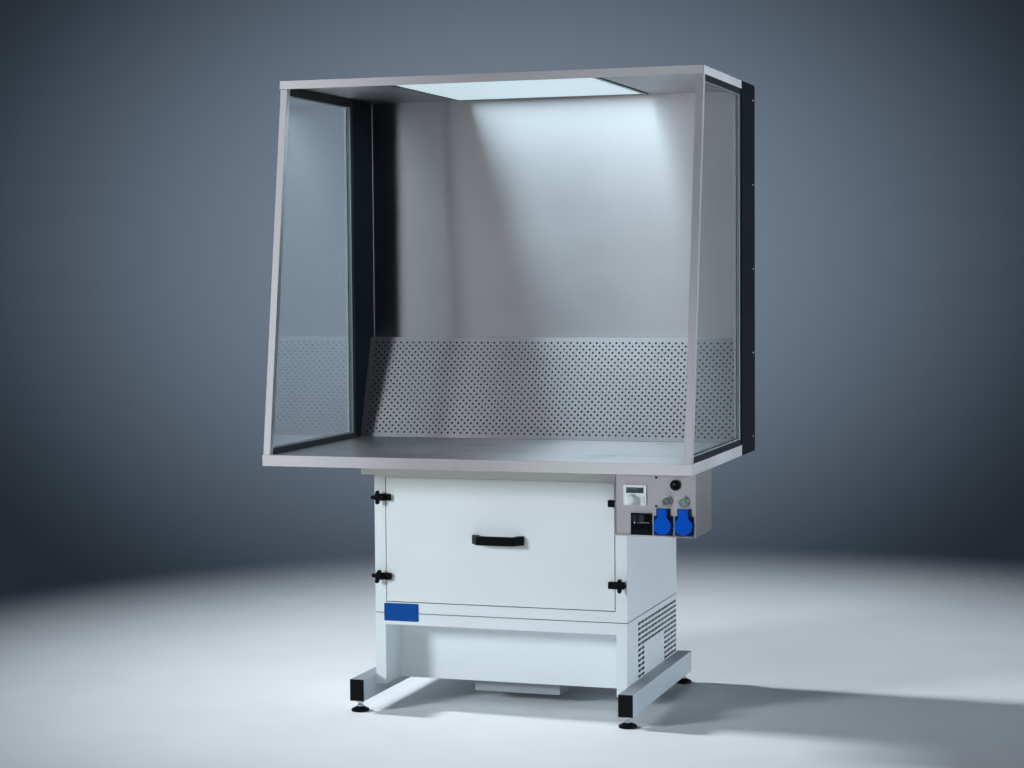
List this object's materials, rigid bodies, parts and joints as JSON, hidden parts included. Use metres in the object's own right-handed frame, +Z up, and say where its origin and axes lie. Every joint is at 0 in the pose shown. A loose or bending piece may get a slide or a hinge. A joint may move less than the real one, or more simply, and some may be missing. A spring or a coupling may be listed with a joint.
{
  "type": "fume extraction bench",
  "caption": "Free-standing fume extraction bench: stainless worktop under a lit hood with glass sides and a perforated intake, on a painted cabinet with filters and a fan.",
  "frame": {"origin": "on the floor, in the middle of the outline seen from above", "axes": "+Z up, the open front of the hood faces -Y, +X to the right seen from the front"},
  "size_m": [1.2044, 0.819, 1.75],
  "materials": {
    "painted_sheet": "pale grey powder coat",
    "stainless": "brushed",
    "anthracite": "dark anthracite coat",
    "aluminium": "satin",
    "zinc_steel": "zinc plated",
    "chrome": "polished",
    "glass": "clear",
    "black_plastic": "satin black",
    "white_plastic": "satin white",
    "blue_plastic": "gloss blue",
    "clear_lens": "clear",
    "green_lens": "gloss green",
    "opal": "opal, lit from behind",
    "rubber": "matt",
    "filter_medium": "pleated medium",
    "carbon_medium": "granules behind mesh",
    "core_board": "raw board",
    "motor_paint": "dark grey",
    "blue_label": "plain blue"
  },
  "bodies": {
    "bench": {"base_beams": "painted_sheet", "beam_end_caps": "black_plastic", "foot_nuts": "zinc_steel", "fan_side_left": "painted_sheet", "fan_side_right": "painted_sheet", "front_apron": "painted_sheet", "rear_panels": "painted_sheet", "fan_floor": "painted_sheet", "bottom_pan": "painted_sheet", "divider_plate": "zinc_steel", "fan_motor": "motor_paint", "fan_inlet_ring": "zinc_steel", "cabinet_sides": "painted_sheet", "door_frame": "painted_sheet", "intake_duct": "painted_sheet", "carbon_filter": "carbon_medium", "particle_filter": "filter_medium", "prefilter": "filter_medium", "filter_rails": "zinc_steel", "top_frame": "painted_sheet", "worktop": "stainless", "worktop_core": "core_board", "column_sides": "anthracite", "back_wall": "stainless", "perforated_panel": "stainless", "roof": "stainless", "light_frame": "aluminium", "light_diffuser": "opal", "front_posts": "stainless", "glass_channels": "stainless", "side_glass": "glass", "control_box": "stainless", "control_plate": "stainless", "panel_screws": "zinc_steel", "controller_body": "white_plastic", "filter_monitor": "black_plastic", "button_bodies": "chrome", "socket_bodies": "blue_plastic", "cable_gland": "black_plastic", "label_plate": "blue_label"},
    "door": {"filter_door": "painted_sheet", "door_gasket": "rubber", "door_handle": "black_plastic", "latch_blocks": "black_plastic"},
    "fan": {"fan_impeller": "aluminium"},
    "dial": {"speed_dial": "white_plastic"},
    "key": {"controller_key": "white_plastic"},
    "black_button": {"button_black": "black_plastic"},
    "clear_button": {"button_clear": "clear_lens"},
    "green_button": {"button_green": "green_lens"},
    "left_lid": {"socket_lid_left": "blue_plastic"},
    "right_lid": {"socket_lid_right": "blue_plastic"},
    "knob_lower_left": {"latch_knob_lower_left": "black_plastic"},
    "knob_lower_right": {"latch_knob_lower_right": "black_plastic"},
    "knob_upper_left": {"latch_knob_upper_left": "black_plastic"},
    "knob_upper_right": {"latch_knob_upper_right": "black_plastic"},
    "foot_front_left": {"foot_front_left": "zinc_steel"},
    "foot_front_right": {"foot_front_right": "zinc_steel"},
    "foot_rear_left": {"foot_rear_left": "zinc_steel"},
    "foot_rear_right": {"foot_rear_right": "zinc_steel"}
  },
  "joints": [
    {"name": "door_pull", "type": "slide", "parent": "bench", "child": "door", "axis": [0, -1, 0], "range_m": [0, 0.25]},
    {"name": "knob_lower_left_turn", "type": "hinge", "parent": "door", "child": "knob_lower_left", "pos_m": [-0.349, -0.1785, 0.37], "axis": [0, -1, 0], "continuous": true},
    {"name": "knob_lower_right_turn", "type": "hinge", "parent": "door", "child": "knob_lower_right", "pos_m": [0.349, -0.1785, 0.37], "axis": [0, -1, 0], "continuous": true},
    {"name": "knob_upper_left_turn", "type": "hinge", "parent": "door", "child": "knob_upper_left", "pos_m": [-0.349, -0.1785, 0.592], "axis": [0, -1, 0], "continuous": true},
    {"name": "knob_upper_right_turn", "type": "hinge", "parent": "door", "child": "knob_upper_right", "pos_m": [0.349, -0.1785, 0.592], "axis": [0, -1, 0], "continuous": true},
    {"name": "foot_front_left_level", "type": "slide", "parent": "bench", "child": "foot_front_left", "axis": [0, 0, -1], "range_m": [0, 0.015]},
    {"name": "foot_front_right_level", "type": "slide", "parent": "bench", "child": "foot_front_right", "axis": [0, 0, -1], "range_m": [0, 0.015]},
    {"name": "foot_rear_left_level", "type": "slide", "parent": "bench", "child": "foot_rear_left", "axis": [0, 0, -1], "range_m": [0, 0.015]},
    {"name": "foot_rear_right_level", "type": "slide", "parent": "bench", "child": "foot_rear_right", "axis": [0, 0, -1], "range_m": [0, 0.015]},
    {"name": "fan_spin", "type": "hinge", "parent": "bench", "child": "fan", "pos_m": [0, 0.1055, 0.1065], "axis": [0, 0, 1], "continuous": true},
    {"name": "dial_turn", "type": "hinge", "parent": "bench", "child": "dial", "pos_m": [0.4285, -0.3695, 0.627], "axis": [0, -1, 0], "range_deg": [-150, 150]},
    {"name": "key_press", "type": "slide", "parent": "bench", "child": "key", "axis": [0, 1, 0], "range_m": [0, 0.0012], "stiffness_N_per_m": 300},
    {"name": "black_press", "type": "slide", "parent": "bench", "child": "black_button", "axis": [0, 1, 0], "range_m": [0, 0.0025], "stiffness_N_per_m": 500},
    {"name": "clear_press", "type": "slide", "parent": "bench", "child": "clear_button", "axis": [0, 1, 0], "range_m": [0, 0.0025], "stiffness_N_per_m": 500},
    {"name": "green_press", "type": "slide", "parent": "bench", "child": "green_button", "axis": [0, 1, 0], "range_m": [0, 0.0025], "stiffness_N_per_m": 500},
    {"name": "left_lid_lift", "type": "hinge", "parent": "bench", "child": "left_lid", "pos_m": [0.5144, -0.3795, 0.601], "axis": [-1, 0, 0], "range_deg": [0, 90], "stiffness_Nm_per_rad": 0.03, "springref_deg": -34.38},
    {"name": "right_lid_lift", "type": "hinge", "parent": "bench", "child": "right_lid", "pos_m": [0.5698, -0.3795, 0.601], "axis": [-1, 0, 0], "range_deg": [0, 90], "stiffness_Nm_per_rad": 0.03, "springref_deg": -34.38}
  ]
}
